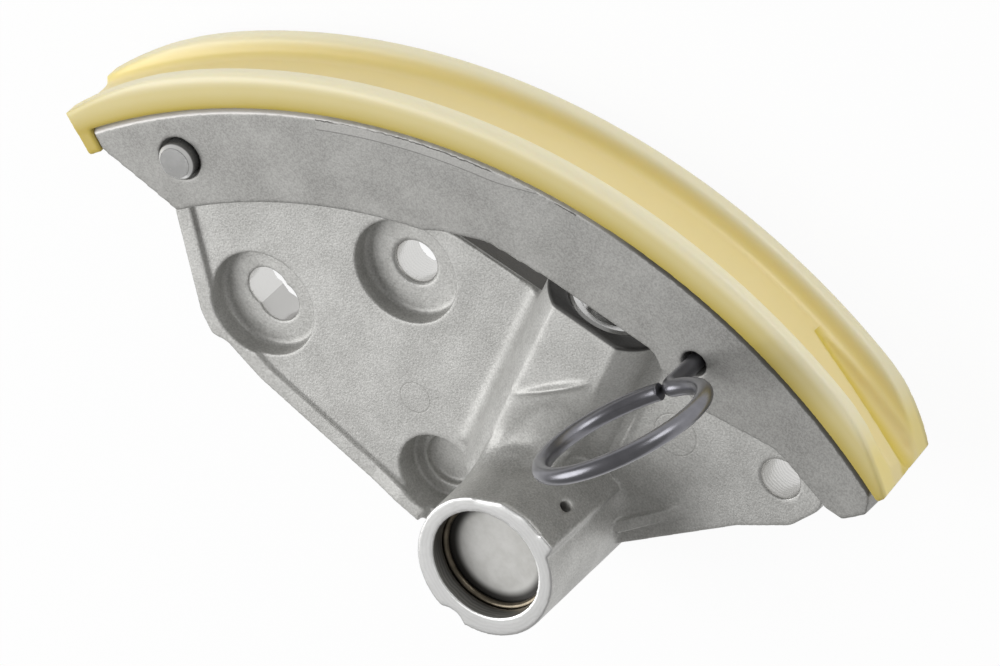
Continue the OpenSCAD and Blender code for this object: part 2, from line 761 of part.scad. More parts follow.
housing();
lever();
guide_shoe();
pivot_pin();
piston();
piston_spring();
valve_seat();
valve_ball();
valve_cage();
valve_spring();
bore_plug();
plug_seal();
plug_ring();
lock_pin();
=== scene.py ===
import json
import math

import bpy
from mathutils import Matrix, Vector


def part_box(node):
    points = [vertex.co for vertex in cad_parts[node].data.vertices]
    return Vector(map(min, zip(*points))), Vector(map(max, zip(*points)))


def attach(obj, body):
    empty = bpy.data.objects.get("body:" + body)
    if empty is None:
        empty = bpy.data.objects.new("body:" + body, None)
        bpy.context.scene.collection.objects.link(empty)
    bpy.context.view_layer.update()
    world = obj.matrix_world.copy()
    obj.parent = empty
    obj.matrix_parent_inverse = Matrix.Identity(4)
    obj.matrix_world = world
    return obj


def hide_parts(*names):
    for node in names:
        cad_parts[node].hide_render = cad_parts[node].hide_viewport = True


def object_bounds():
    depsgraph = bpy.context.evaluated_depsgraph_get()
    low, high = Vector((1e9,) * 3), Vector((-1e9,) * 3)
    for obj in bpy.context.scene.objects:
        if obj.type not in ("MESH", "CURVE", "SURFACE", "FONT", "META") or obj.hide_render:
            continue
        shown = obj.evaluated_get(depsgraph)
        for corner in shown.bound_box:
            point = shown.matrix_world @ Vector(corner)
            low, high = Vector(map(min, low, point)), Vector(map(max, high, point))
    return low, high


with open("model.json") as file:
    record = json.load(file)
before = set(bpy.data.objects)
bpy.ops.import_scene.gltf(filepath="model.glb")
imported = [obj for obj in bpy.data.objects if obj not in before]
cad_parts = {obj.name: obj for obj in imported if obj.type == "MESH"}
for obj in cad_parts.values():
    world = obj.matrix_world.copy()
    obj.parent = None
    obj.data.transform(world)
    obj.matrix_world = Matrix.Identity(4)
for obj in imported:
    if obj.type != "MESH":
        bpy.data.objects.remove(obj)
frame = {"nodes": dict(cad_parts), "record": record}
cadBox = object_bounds()
nodes = frame["nodes"]
mounts = {mount["name"]: Vector(mount["pos_m"]) for mount in frame["record"]["mounts"]}
mm = 0.001
weldGap = 0.002 * mm
print("frame loaded:", len(nodes), "nodes")

# small helpers for modelling


def deselectAll():
    if bpy.context.mode != "OBJECT":
        bpy.ops.object.mode_set(mode="OBJECT")
    bpy.ops.object.select_all(action="DESELECT")


def pick(piece):
    deselectAll()
    piece.select_set(True)
    bpy.context.view_layer.objects.active = piece


def applyModifier(piece, kind, **settings):
    pick(piece)
    modifier = piece.modifiers.new(kind.lower(), kind)
    for name, value in settings.items():
        setattr(modifier, name, value)
    bpy.ops.object.modifier_apply(modifier=modifier.name)


def weldedCopy(nodeName, pieceName):
    piece = bpy.data.objects.new(pieceName, nodes[nodeName].data.copy())
    bpy.context.scene.collection.objects.link(piece)
    piece.data.materials.clear()
    pick(piece)
    bpy.ops.object.mode_set(mode="EDIT")
    bpy.ops.mesh.select_all(action="SELECT")
    bpy.ops.mesh.remove_doubles(threshold=weldGap)
    bpy.ops.mesh.customdata_custom_splitnormals_clear()
    bpy.ops.object.mode_set(mode="OBJECT")
    return piece


def trimmed(piece, place, way):
    # cuts off what lies past an upright plane
    pick(piece)
    bpy.ops.object.mode_set(mode="EDIT")
    bpy.ops.mesh.select_all(action="SELECT")
    bpy.ops.mesh.bisect(plane_co=place, plane_no=way, use_fill=True, clear_outer=True)
    bpy.ops.object.mode_set(mode="OBJECT")


def between(value, limits):
    return limits[0] < value < limits[1]


def clamped(*values):
    # the least of the values, held between 0 and 1
    return max(0.0, min(1.0, *values))


def groupPoints(piece, name, weightOf):
    group = piece.vertex_groups.new(name=name)
    for vertex in piece.data.vertices:
        weight = weightOf(vertex.co)
        if weight > 0:
            group.add([vertex.index], weight, "REPLACE")
    return name


def triangleCount(piece):
    return sum(len(face.vertices) - 2 for face in piece.data.polygons)


def remeshed(piece, form):
    # even small faces, so that smoothing rounds the edges as a mould does
    applyModifier(piece, "REMESH", mode="VOXEL", voxel_size=form["voxel"], adaptivity=0.0)


def rounded(piece, rounds, **settings):
    applyModifier(piece, "SMOOTH", factor=0.5, iterations=rounds, **settings)


def settled(piece, limit):
    # thinned to a limit of triangles and shaded smooth
    if triangleCount(piece) > limit:
        applyModifier(piece, "DECIMATE", decimate_type="COLLAPSE", ratio=limit / triangleCount(piece))
    piece.vertex_groups.clear()
    pick(piece)
    bpy.ops.object.shade_smooth()
    print(piece.name, "has", triangleCount(piece), "triangles")


def unevenSkin(piece, name, size, depth, **settings):
    # slow waves of a cast face, or a ragged edge on a group of points
    texture = bpy.data.textures.new(name, "CLOUDS")
    texture.noise_scale = size
    texture.noise_depth = 2
    applyModifier(piece, "DISPLACE", texture=texture, texture_coords="LOCAL", strength=depth, mid_level=0.5,
                  **settings)


def dress(piece, body, replaced, material):
    piece.data.materials.clear()
    piece.data.materials.append(material)
    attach(piece, body)
    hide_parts(*replaced)


def dressNode(nodeName, material):
    nodes[nodeName].data.materials.clear()
    nodes[nodeName].data.materials.append(material)


# small helpers for materials


def isSocket(value):
    return isinstance(value, bpy.types.NodeSocket)


def addNode(tree, kind, inputs=None, **settings):
    node = tree.nodes.new(kind)
    for name, value in settings.items():
        setattr(node, name, value)
    for name, value in (inputs or {}).items():
        if isSocket(value):
            tree.links.new(value, node.inputs[name])
        else:
            node.inputs[name].default_value = value
    return node


def mathNode(tree, operation, first, second):
    return addNode(tree, "ShaderNodeMath", {0: first, 1: second}, operation=operation).outputs[0]


def distance(tree, value, middle):
    away = mathNode(tree, "SUBTRACT", value, middle)
    return addNode(tree, "ShaderNodeMath", {0: away}, operation="ABSOLUTE").outputs[0]


def scaled(tree, value, amount):
    return mathNode(tree, "MULTIPLY", value, amount)


def inverse(tree, value):
    return mathNode(tree, "SUBTRACT", 1.0, value)


def allOf(tree, first, *others):
    for other in others:
        first = mathNode(tree, "MULTIPLY", first, other)
    return first


def over(tree, value, limit):
    return mathNode(tree, "GREATER_THAN", value, limit)


def under(tree, value, limit):
    return mathNode(tree, "LESS_THAN", value, limit)


def mixColour(tree, factor, first, second):
    # the colour mix has its factor at socket 0 and its two colours at 6 and 7
    first, second = (value if isSocket(value) else (*value, 1.0) for value in (first, second))
    return addNode(tree, "ShaderNodeMix", {0: factor, 6: first, 7: second}, data_type="RGBA").outputs[2]


def mixValue(tree, factor, first, second):
    return addNode(tree, "ShaderNodeMix", {0: factor, 2: first, 3: second}).outputs[0]


def ramp(tree, value, low, high):
    node = addNode(tree, "ShaderNodeMapRange", {"Value": value, "From Min": low, "From Max": high},
                   clamp=True, interpolation_type="SMOOTHSTEP")
    return node.outputs["Result"]


def band(tree, value, middle, half, soft):
    return inverse(tree, ramp(tree, distance(tree, value, middle), half, half + soft))


def newGroup(name, inputs, outputs):
    tree = bpy.data.node_groups.new(name, "ShaderNodeTree")
    for socketName, value in inputs.items():
        socket = tree.interface.new_socket(name=socketName, in_out="INPUT", socket_type="NodeSocketFloat")
        socket.default_value = value
    for socketName in outputs:
        tree.interface.new_socket(name=socketName, in_out="OUTPUT", socket_type="NodeSocketFloat")
    return tree, tree.nodes.new("NodeGroupInput").outputs, tree.nodes.new("NodeGroupOutput").inputs


def useGroup(tree, group, **values):
    node = tree.nodes.new("ShaderNodeGroup")
    node.node_tree = group
    for name, value in values.items():
        node.inputs[name].default_value = value
    return node.outputs


def objectPlace(tree):
    return addNode(tree, "ShaderNodeTexCoord").outputs["Object"]


def splitPlace(tree):
    return addNode(tree, "ShaderNodeSeparateXYZ", {"Vector": objectPlace(tree)}).outputs


def newMaterial(name):
    material = bpy.data.materials.new(name)
    material.use_nodes = True
    tree = material.node_tree
    return material, tree, tree.nodes["Principled BSDF"]


# shared effects, with sizes in metres on object coordinates


def makeGrainGroup():
    tree, given, result = newGroup("blastedGrain", {"Grain": 0.0003, "Mottle": 0.004},
                                   ["Speck", "Cloud", "Height"])
    place = objectPlace(tree)
    pitShare = 0.5
    grainScale = mathNode(tree, "DIVIDE", 1.0, given["Grain"])
    mottleScale = mathNode(tree, "DIVIDE", 1.0, given["Mottle"])
    fine = addNode(tree, "ShaderNodeTexNoise",
                   {"Vector": place, "Scale": grainScale, "Detail": 2.0, "Roughness": 0.6}).outputs["Fac"]
    pits = addNode(tree, "ShaderNodeTexVoronoi", {"Vector": place, "Scale": grainScale}).outputs["Distance"]
    cloud = addNode(tree, "ShaderNodeTexNoise",
                    {"Vector": place, "Scale": mottleScale, "Detail": 4.0, "Roughness": 0.6}).outputs["Fac"]
    tree.links.new(fine, result["Speck"])
    tree.links.new(cloud, result["Cloud"])
    tree.links.new(mathNode(tree, "ADD", fine, scaled(tree, pits, pitShare)), result["Height"])
    return tree


def makeAxisGroup():
    # distance from an upright axis, height along it, and the turn about it in radians
    tree, given, result = newGroup("aboutAxis", {"CentreX": 0.0, "CentreY": 0.0}, ["Away", "Along", "Turn"])
    place = splitPlace(tree)
    dx = mathNode(tree, "SUBTRACT", place["X"], given["CentreX"])
    dy = mathNode(tree, "SUBTRACT", place["Y"], given["CentreY"])
    square = mathNode(tree, "ADD", mathNode(tree, "MULTIPLY", dx, dx), mathNode(tree, "MULTIPLY", dy, dy))
    away = addNode(tree, "ShaderNodeMath", {0: square}, operation="SQRT")
    tree.links.new(away.outputs[0], result["Away"])
    tree.links.new(place["Z"], result["Along"])
    tree.links.new(mathNode(tree, "ARCTAN2", dy, dx), result["Turn"])
    return tree


def makeEdgeGroup():
    tree, given, result = newGroup("edgesAndHollows", {"Low": 0.52, "High": 0.6}, ["Ridge", "Hollow"])
    point = addNode(tree, "ShaderNodeNewGeometry").outputs["Pointiness"]
    ridge = addNode(tree, "ShaderNodeMapRange",
                    {"Value": point, "From Min": given["Low"], "From Max": given["High"]})
    hollow = addNode(tree, "ShaderNodeMapRange",
                     {"Value": point, "From Min": inverse(tree, given["Low"]),
                      "From Max": inverse(tree, given["High"])})
    tree.links.new(ridge.outputs["Result"], result["Ridge"])
    tree.links.new(hollow.outputs["Result"], result["Hollow"])
    return tree


def makeToolGroup():
    # fine lines of a cutting tool: rings on a turned face and turns down a drilled wall
    tree, given, result = newGroup("toolMarks", {"CentreX": 0.0, "CentreY": 0.0, "Pitch": 0.0003},
                                   ["Rings", "Turns"])
    axis = tree.nodes.new("ShaderNodeGroup")
    axis.node_tree = axisGroup
    tree.links.new(given["CentreX"], axis.inputs["CentreX"])
    tree.links.new(given["CentreY"], axis.inputs["CentreY"])
    noise = addNode(tree, "ShaderNodeTexNoise", {"Vector": objectPlace(tree), "Scale": 500.0})
    wander = scaled(tree, noise.outputs["Fac"], 9.0)  # shifts the lines by up to this many radians
    for name, source in (("Rings", "Away"), ("Turns", "Along")):
        phase = mathNode(tree, "DIVIDE", scaled(tree, axis.outputs[source], 2 * math.pi), given["Pitch"])
        wave = addNode(tree, "ShaderNodeMath", {0: mathNode(tree, "ADD", phase, wander)}, operation="SINE")
        tree.links.new(mathNode(tree, "ADD", 0.5, scaled(tree, wave.outputs[0], 0.5)), result[name])
    return tree


grainGroup = makeGrainGroup()
axisGroup = makeAxisGroup()
edgeGroup = makeEdgeGroup()
toolGroup = makeToolGroup()
print("shared effects made:", len(bpy.data.node_groups))

# cast finishes

castLook = {"specks": (0.25, 0.75), "speckShare": 0.65, "clouds": (0.3, 0.7), "cloudShare": 0.35,
            "roughSwing": 0.16}


def lay(tree, skin, mask, **layers):
    # lays a colour, roughness, metal or height over the skin where the mask is set
    for name, value in layers.items():
        mix = mixColour if name == "colour" else mixValue
        skin[name] = mix(tree, mask, skin[name], value)


def castSkin(tree, look):
    grain = useGroup(tree, grainGroup, Grain=look["grain"], Mottle=look["mottle"])
    edge = useGroup(tree, edgeGroup, Low=look["edgeLow"], High=look["edgeHigh"])
    specks = scaled(tree, ramp(tree, grain["Speck"], *castLook["specks"]), castLook["speckShare"])
    clouds = scaled(tree, ramp(tree, grain["Cloud"], *castLook["clouds"]), castLook["cloudShare"])
    swing = castLook["roughSwing"]
    skin = {"colour": mixColour(tree, mathNode(tree, "ADD", specks, clouds), look["dark"], look["light"]),
            "rough": mathNode(tree, "ADD", look["rough"] - swing / 2, scaled(tree, grain["Speck"], swing)),
            "metal": look["metal"], "height": grain["Height"]}
    lay(tree, skin, scaled(tree, edge["Ridge"], look["edgeWear"]), colour=look["edgeTone"])
    # darker in the hollows
    lay(tree, skin, scaled(tree, edge["Hollow"], look["hollowShow"]), colour=look["hollowTone"])
    return skin


def finishMetal(tree, shader, look, skin):
    bump = addNode(tree, "ShaderNodeBump",
                   {"Height": skin["height"], "Strength": look["bump"], "Distance": look["depth"]})
    tree.links.new(skin["colour"], shader.inputs["Base Color"])
    tree.links.new(skin["rough"], shader.inputs["Roughness"])
    tree.links.new(bump.outputs["Normal"], shader.inputs["Normal"])
    if isSocket(skin["metal"]):
        tree.links.new(skin["metal"], shader.inputs["Metallic"])
    else:
        shader.inputs["Metallic"].default_value = skin["metal"]


def middleOf(nodeName):
    low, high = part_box(nodeName)
    return (low + high) / 2


tubeX, tubeY, _ = middleOf("bore_plug")
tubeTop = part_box("housing")[1].z
pistonX = middleOf("piston").x
plateTop = 10.0 * mm
mouthY = 17.5 * mm
slotHole, slotReach, slotTop = mounts["slotted_bolt_hole"], 4.7 * mm, 6.75 * mm
# drilled holes: centre, radius, the height that the cut wall ends at, and how strong the drill's lines are
drilledHoles = [
    (mounts["upper_bolt_hole"], 3.6 * mm, 6.85 * mm, 0.08),
    (slotHole, slotReach, slotTop, 0.05),
    (mounts["locating_hole"], 3.45 * mm, 9.95 * mm, 0.22),
]
# round marks that the ejector pins left: place beside the origin, and radius
ejectorMarks = [((9.6 * mm, -19.0 * mm), 2.5 * mm), ((47.6 * mm, 3.8 * mm), 3.5 * mm)]
housingLook = {
    "dark": (0.38, 0.377, 0.362), "light": (0.64, 0.637, 0.618), "grain": 0.00032, "mottle": 0.007,
    "rough": 0.52, "metal": 0.45, "bump": 0.40, "depth": 0.00009,
    "edgeLow": 0.56, "edgeHigh": 0.70, "edgeWear": 0.1, "edgeTone": (0.80, 0.80, 0.785),
    "hollowShow": 0.5, "hollowTone": (0.15, 0.14, 0.125),
    # painted shade on the side of the plate under the lever, and on the mouth of the cylinder under it
    "sideShadeTone": (0.14, 0.135, 0.125), "sideFrom": 10.9 * mm, "sideTop": 9.4 * mm,
    "mouthShadeTone": (0.085, 0.083, 0.08), "mouthDepth": 0.8 * mm, "mouthHalf": 10.8 * mm,
    "mouthFoot": plateTop + 0.4 * mm,
    # drilled walls, and painted shade on the wall of the slotted hole's second drilling
    "cutTone": (0.80, 0.795, 0.78), "cutRough": 0.26, "cutMetal": 0.85, "cutPitch": 0.0006,
    "crossShadeTone": (0.58, 0.574, 0.56), "crossWay": (0.93, -0.36),
    # the tube's cast side shines more than the plate, and its bore and rim are turned; the bore's wall is
    # darkened with painted shade, and its edge carries a painted highlight
    "tubeMetal": 0.85, "tubeReach": (12.5 * mm, 14.5 * mm),
    "tubeFoot": (plateTop + 2 * mm, plateTop + 6 * mm),
    "boreShadeTone": (0.20, 0.196, 0.187), "boreShadeLine": (0.29, 0.284, 0.27), "boreRough": 0.30,
    "boreReach": 9.7 * mm, "boreFoot": tubeTop - 7 * mm,
    "rimTone": (0.68, 0.68, 0.675), "rimRough": 0.42, "rimGrain": 0.25,
    "rimReach": 13.5 * mm, "rimFoot": tubeTop - 0.15 * mm, "turnedLines": 0.12,
    "rimEdgeHighlight": (0.92, 0.92, 0.91), "rimEdgeRadius": 9.0 * mm, "rimEdgeWidth": 0.1 * mm,
    # ejector pin marks
    "markTone": (0.30, 0.295, 0.28), "markShow": 0.4, "markDepth": 0.5,
    "markWidth": 0.05 * mm, "markSoft": 0.12 * mm,
}


def shadePlate(tree, skin, place):
    look = housingLook
    # painted shade on the plate's side under the lever and on the cylinder's mouth
    side = allOf(tree, over(tree, place["Y"], look["sideFrom"]), under(tree, place["Z"], look["sideTop"]))
    nearMouth = ramp(tree, place["Y"], mouthY - look["mouthDepth"], mouthY - look["mouthDepth"] / 2)
    besideMouth = under(tree, distance(tree, place["X"], pistonX), look["mouthHalf"])
    mouth = allOf(tree, nearMouth, besideMouth, over(tree, place["Z"], look["mouthFoot"]))
    lay(tree, skin, side, colour=look["sideShadeTone"])
    lay(tree, skin, mouth, colour=look["mouthShadeTone"])


def drillHoles(tree, skin, place):
    look = housingLook
    for centre, radius, top, lines in drilledHoles:
        axis = useGroup(tree, axisGroup, CentreX=centre.x, CentreY=centre.y)
        marks = useGroup(tree, toolGroup, CentreX=centre.x, CentreY=centre.y, Pitch=look["cutPitch"])
        wall = allOf(tree, under(tree, axis["Away"], radius), under(tree, axis["Along"], top))
        turns = scaled(tree, marks["Turns"], lines)
        cut = mixColour(tree, turns, look["cutTone"], look["dark"])
        lay(tree, skin, wall, colour=cut, rough=look["cutRough"], metal=look["cutMetal"], height=turns)
    # painted shade on the half of the slotted hole's wall left by the second drilling
    axis = useGroup(tree, axisGroup, CentreX=slotHole.x, CentreY=slotHole.y)
    wayX, wayY = look["crossWay"]
    across = mathNode(tree, "ADD", scaled(tree, place["X"], wayX), scaled(tree, place["Y"], wayY))
    cross = allOf(tree, over(tree, across, slotHole.x * wayX + slotHole.y * wayY),
                  under(tree, axis["Away"], slotReach), under(tree, axis["Along"], slotTop))
    lay(tree, skin, cross, colour=look["crossShadeTone"])


def turnTube(tree, skin):
    look = housingLook
    axis = useGroup(tree, axisGroup, CentreX=tubeX, CentreY=tubeY)
    marks = useGroup(tree, toolGroup, CentreX=tubeX, CentreY=tubeY, Pitch=look["cutPitch"])
    grain = useGroup(tree, grainGroup, Grain=look["grain"], Mottle=look["mottle"])
    side = allOf(tree, inverse(tree, ramp(tree, axis["Away"], *look["tubeReach"])),
                 ramp(tree, axis["Along"], *look["tubeFoot"]))
    bore = allOf(tree, under(tree, axis["Away"], look["boreReach"]),
                 over(tree, axis["Along"], look["boreFoot"]))
    rim = allOf(tree, under(tree, axis["Away"], look["rimReach"]),
                over(tree, axis["Along"], look["rimFoot"]))
    lay(tree, skin, side, metal=look["tubeMetal"])
    # painted shade in the bore, crossed by the turned lines
    boreShadeColour = mixColour(tree, marks["Turns"], look["boreShadeTone"], look["boreShadeLine"])
    lay(tree, skin, bore, colour=boreShadeColour, rough=look["boreRough"],
        height=scaled(tree, marks["Turns"], look["turnedLines"]))
    rings = scaled(tree, marks["Rings"], look["turnedLines"])
    rimColour = mixColour(tree, rings, look["rimTone"], look["dark"])
    # a painted highlight round the edge of the bore
    edge = band(tree, axis["Away"], look["rimEdgeRadius"], look["rimEdgeWidth"], look["rimEdgeWidth"])
    rimColour = mixColour(tree, edge, rimColour, look["rimEdgeHighlight"])
    lay(tree, skin, rim, colour=rimColour, rough=look["rimRough"],
        height=scaled(tree, grain["Height"], look["rimGrain"]))


def stampMarks(tree, skin):
    look = housingLook
    for (x, y), radius in ejectorMarks:
        axis = useGroup(tree, axisGroup, CentreX=x, CentreY=y)
        ring = band(tree, axis["Away"], radius, look["markWidth"], look["markSoft"])
        lay(tree, skin, scaled(tree, ring, look["markShow"]), colour=look["markTone"])
        skin["height"] = mathNode(tree, "SUBTRACT", skin["height"], scaled(tree, ring, look["markDepth"]))


def housingMaterial():
    material, tree, shader = newMaterial("castHousing")
    skin = castSkin(tree, housingLook)
    place = splitPlace(tree)
    shadePlate(tree, skin, place)
    drillHoles(tree, skin, place)
    turnTube(tree, skin)
    stampMarks(tree, skin)
    finishMetal(tree, shader, housingLook, skin)
    return material


# the lever and its shoe are bent round one axis
trackRadius = 103.05 * mm
arcCentre = (mounts["chain_track"].x, mounts["chain_track"].y - trackRadius)
leverRadius = 100.4 * mm
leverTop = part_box("lever")[1].z
# turns about that axis where the strip of flash along the lever's edge starts and ends
stripTurns = (math.radians(95.0), math.radians(120.5))
leverLook = {
    "dark": (0.25, 0.247, 0.236), "light": (0.45, 0.446, 0.43), "grain": 0.00028, "mottle": 0.009,
    "rough": 0.50, "metal": 0.45, "bump": 0.30, "depth": 0.00006,
    "edgeLow": 0.60, "edgeHigh": 0.78, "edgeWear": 0.25, "edgeTone": (0.62, 0.62, 0.605),
    "hollowShow": 0.4, "hollowTone": (0.09, 0.085, 0.075),
    # strip of flash that narrows to the right, with a line along its inner side
    "stripWidth": 2.5 * mm, "stripTaper": math.radians(9.0), "stripTone": (0.48, 0.472, 0.455),
    "stripShow": 0.35, "stripRise": 1.2,
    "lineTone": (0.17, 0.167, 0.16), "lineShow": 0.7, "lineWidth": 0.04 * mm, "lineSoft": 0.10 * mm,
    # outer edge: a painted highlight at the left, torn along the strip, and painted shade at the right
    "bandWidth": 0.9 * mm, "bandSoft": 0.1 * mm, "bandShow": 0.85,
    "bandHighlight": (0.58, 0.565, 0.55), "lightFade": math.radians(2.0),
    "bandShade": (0.13, 0.127, 0.12), "darkFade": math.radians(8.0),
    "tornGrain": 0.0011, "tornMottle": 0.012, "tornWander": 0.5 * mm,
    "crackPlace": 0.95 * mm, "crackWidth": 0.05 * mm, "crackSoft": 0.09 * mm, "crackClouds": (0.40, 0.50),
    "crackTone": (0.05, 0.047, 0.042), "crackShow": 0.9, "crackDepth": 1.5,
}


def leverMaterial():
    look = leverLook
    material, tree, shader = newMaterial("castLever")
    skin = castSkin(tree, look)
    axis = useGroup(tree, axisGroup, CentreX=arcCentre[0], CentreY=arcCentre[1])
    ragged = useGroup(tree, grainGroup, Grain=look["tornGrain"], Mottle=look["tornMottle"])
    wander = scaled(tree, mathNode(tree, "SUBTRACT", ragged["Speck"], 0.5), look["tornWander"])
    inward = mathNode(tree, "SUBTRACT", leverRadius, axis["Away"])
    torn = mathNode(tree, "ADD", inward, wander)
    stripFrom, stripTo = stripTurns
    onStrip = allOf(tree, over(tree, axis["Turn"], stripFrom), under(tree, axis["Turn"], stripTo))
    taper = ramp(tree, axis["Turn"], stripFrom, stripFrom + look["stripTaper"])
    width = scaled(tree, taper, look["stripWidth"])
    past = mathNode(tree, "SUBTRACT", inward, width)
    strip = allOf(tree, onStrip, under(tree, past, 0.0))
    line = allOf(tree, onStrip, band(tree, past, 0.0, look["lineWidth"], look["lineSoft"]))
    lay(tree, skin, scaled(tree, strip, look["stripShow"]), colour=look["stripTone"])
    lay(tree, skin, scaled(tree, line, look["lineShow"]), colour=look["lineTone"])
    # along the outer edge: painted shade at the right, the strip's tone along the strip, and a painted
    # highlight at the left
    paintedBandLight = mixColour(tree, ramp(tree, axis["Turn"], stripFrom - look["darkFade"], stripFrom),
                         look["bandShade"], look["stripTone"])
    paintedBandLight = mixColour(tree, ramp(tree, axis["Turn"], stripTo - look["lightFade"], stripTo),
                         paintedBandLight, look["bandHighlight"])
    bandFrom, bandTo = look["bandWidth"] - look["bandSoft"], look["bandWidth"] + look["bandSoft"]
    edge = inverse(tree, ramp(tree, torn, bandFrom, bandTo))
    crack = allOf(tree, band(tree, torn, look["crackPlace"], look["crackWidth"], look["crackSoft"]), onStrip,
                  ramp(tree, ragged["Cloud"], *look["crackClouds"]))
    lay(tree, skin, scaled(tree, edge, look["bandShow"]), colour=paintedBandLight)
    lay(tree, skin, scaled(tree, crack, look["crackShow"]), colour=look["crackTone"])
    cracked = mathNode(tree, "SUBTRACT", skin["height"], scaled(tree, crack, look["crackDepth"]))
    skin["height"] = mathNode(tree, "ADD", cracked, scaled(tree, strip, look["stripRise"]))
    finishMetal(tree, shader, look, skin)
    return material


# moulded plastic

shoeLow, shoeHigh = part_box("guide_shoe")
shoeMiddle = (shoeLow.z + shoeHigh.z) / 2
shoeHalf = (shoeHigh.z - shoeLow.z) / 2
wallFoot = shoeHalf - 2.6 * mm
shoeLook = {
    # painted shade at the foot of the outer faces by the lever, the shoe's own middle tone, and a painted
    # highlight on the tops of the walls
    "footShade": (0.57, 0.44, 0.08), "middle": (0.74, 0.63, 0.28), "topHighlight": (0.94, 0.87, 0.62),
    # the last tone is painted shade in the relief scoop
    "track": (0.90, 0.755, 0.37), "corner": (0.92, 0.775, 0.31), "groove": (0.74, 0.58, 0.10),
    # where one tone turns into the next, as a rise over the track or a distance from the middle of the shoe
    "footShadeToMiddle": (-2.6 * mm, 0.8 * mm), "toTopHighlight": (0.6 * mm, 3.2 * mm),
    "trackToCorner": (wallFoot - 1.9 * mm, wallFoot - 0.4 * mm),
    "toOutside": (shoeHalf - 1.3 * mm, shoeHalf - 0.5 * mm),
    "grain": 0.0006, "mottle": 0.02, "clouds": (0.35, 0.65), "cloudShow": 0.05,
    "bump": 0.05, "depth": 0.00003,
    "rough": 0.36, "scatter": 0.15, "scatterDepth": 1.6 * mm, "scatterColours": (1.0, 0.8, 0.4),
    # the relief scoop in the track: turns where it starts and ends, and its front edge and width there
    "scoopTurns": (math.radians(73.9), math.radians(60.3)), "scoopFront": (7.8 * mm, 11.1 * mm),
    "scoopWidth": (1.9 * mm, 5.0 * mm), "scoopShow": 0.95,
    "scoopLead": (-0.15, 0.1), "scoopFade": (0.35, 1.0), "scoopRun": 0.01,
}


def scoopShade(tree, axis):
    # painted shade, strongest at the front edge of the scoop, and fading across it
    look = shoeLook
    turnFrom, turnTo = look["scoopTurns"]
    along = addNode(tree, "ShaderNodeMapRange",
                    {"Value": axis["Turn"], "From Min": turnFrom, "From Max": turnTo}, clamp=True)
    run = along.outputs["Result"]
    front = mixValue(tree, run, *look["scoopFront"])
    width = mixValue(tree, run, *look["scoopWidth"])
    across = mathNode(tree, "DIVIDE", mathNode(tree, "SUBTRACT", front, axis["Along"]), width)
    fade = inverse(tree, ramp(tree, across, *look["scoopFade"]))
    lead = ramp(tree, across, *look["scoopLead"])
    return allOf(tree, fade, lead, over(tree, run, look["scoopRun"]))


def shoeMaterial():
    look = shoeLook
    material, tree, shader = newMaterial("mouldedShoe")
    grain = useGroup(tree, grainGroup, Grain=look["grain"], Mottle=look["mottle"])
    axis = useGroup(tree, axisGroup, CentreX=arcCentre[0], CentreY=arcCentre[1])
    rise = mathNode(tree, "SUBTRACT", axis["Away"], trackRadius)
    across = distance(tree, axis["Along"], shoeMiddle)
    # painted shade at the foot of the outer faces, by the lever
    outside = mixColour(tree, ramp(tree, rise, *look["footShadeToMiddle"]), look["footShade"], look["middle"])
    inside = mixColour(tree, ramp(tree, across, *look["trackToCorner"]), look["track"], look["corner"])
    colour = mixColour(tree, ramp(tree, across, *look["toOutside"]), inside, outside)
    # painted highlight towards the tops of the walls
    colour = mixColour(tree, ramp(tree, rise, *look["toTopHighlight"]), colour, look["topHighlight"])
    colour = mixColour(tree, scaled(tree, scoopShade(tree, axis), look["scoopShow"]), colour, look["groove"])
    clouds = scaled(tree, ramp(tree, grain["Cloud"], *look["clouds"]), look["cloudShow"])
    colour = mixColour(tree, clouds, colour, look["topHighlight"])
    bump = addNode(tree, "ShaderNodeBump",
                   {"Height": grain["Height"], "Strength": look["bump"], "Distance": look["depth"]})
    tree.links.new(colour, shader.inputs["Base Color"])
    tree.links.new(bump.outputs["Normal"], shader.inputs["Normal"])
    shader.inputs["Roughness"].default_value = look["rough"]
    shader.inputs["Subsurface Weight"].default_value = look["scatter"]
    shader.inputs["Subsurface Radius"].default_value = look["scatterColours"]
    shader.inputs["Subsurface Scale"].default_value = look["scatterDepth"]
    return material


# steel finishes; some also have painted rings of highlight and shade about an axis, each with its radius,
# soft width and tone

steelGrain = {"grain": 0.0004, "mottle": 0.003, "clouds": (0.3, 0.7), "roughSwing": 0.06, "bump": 0.10,
              "depth": 0.00002}
pinX, pinY, _ = middleOf("pivot_pin")
steelLooks = {
    # the pin has a painted highlight round its chamfer and painted shade on its side
    "pinSteel": {"dark": (0.28, 0.28, 0.275), "light": (0.35, 0.35, 0.345), "rough": 0.26, "metal": 0.7,
                 "centre": (pinX, pinY), "rings": [(2.40 * mm, 0.1 * mm, (0.95, 0.95, 0.945)),
                                                   (2.80 * mm, 0.15 * mm, (0.20, 0.20, 0.195))]},
    # the disc has painted shade round its edge, inside the bore
    "pressedDisc": {"dark": (0.60, 0.595, 0.57), "light": (0.70, 0.695, 0.675), "rough": 0.45, "metal": 0.4,
                    "centre": (tubeX, tubeY), "rings": [(6.2 * mm, 1.5 * mm, (0.05, 0.048, 0.045))]},
    "pistonSteel": {"dark": (0.66, 0.66, 0.655), "light": (0.76, 0.76, 0.755), "rough": 0.22, "metal": 0.8},
    "groundSteel": {"dark": (0.42, 0.42, 0.415), "light": (0.52, 0.52, 0.515), "rough": 0.30, "metal": 1.0},
    "ringSteel": {"dark": (0.13, 0.112, 0.085), "light": (0.24, 0.205, 0.155), "rough": 0.34, "metal": 1.0},
    "drawnWire": {"dark": (0.18, 0.18, 0.197), "light": (0.21, 0.21, 0.23), "rough": 0.30, "metal": 0.9},
    "springSteel": {"dark": (0.20, 0.20, 0.21), "light": (0.32, 0.32, 0.33), "rough": 0.35, "metal": 1.0},
}


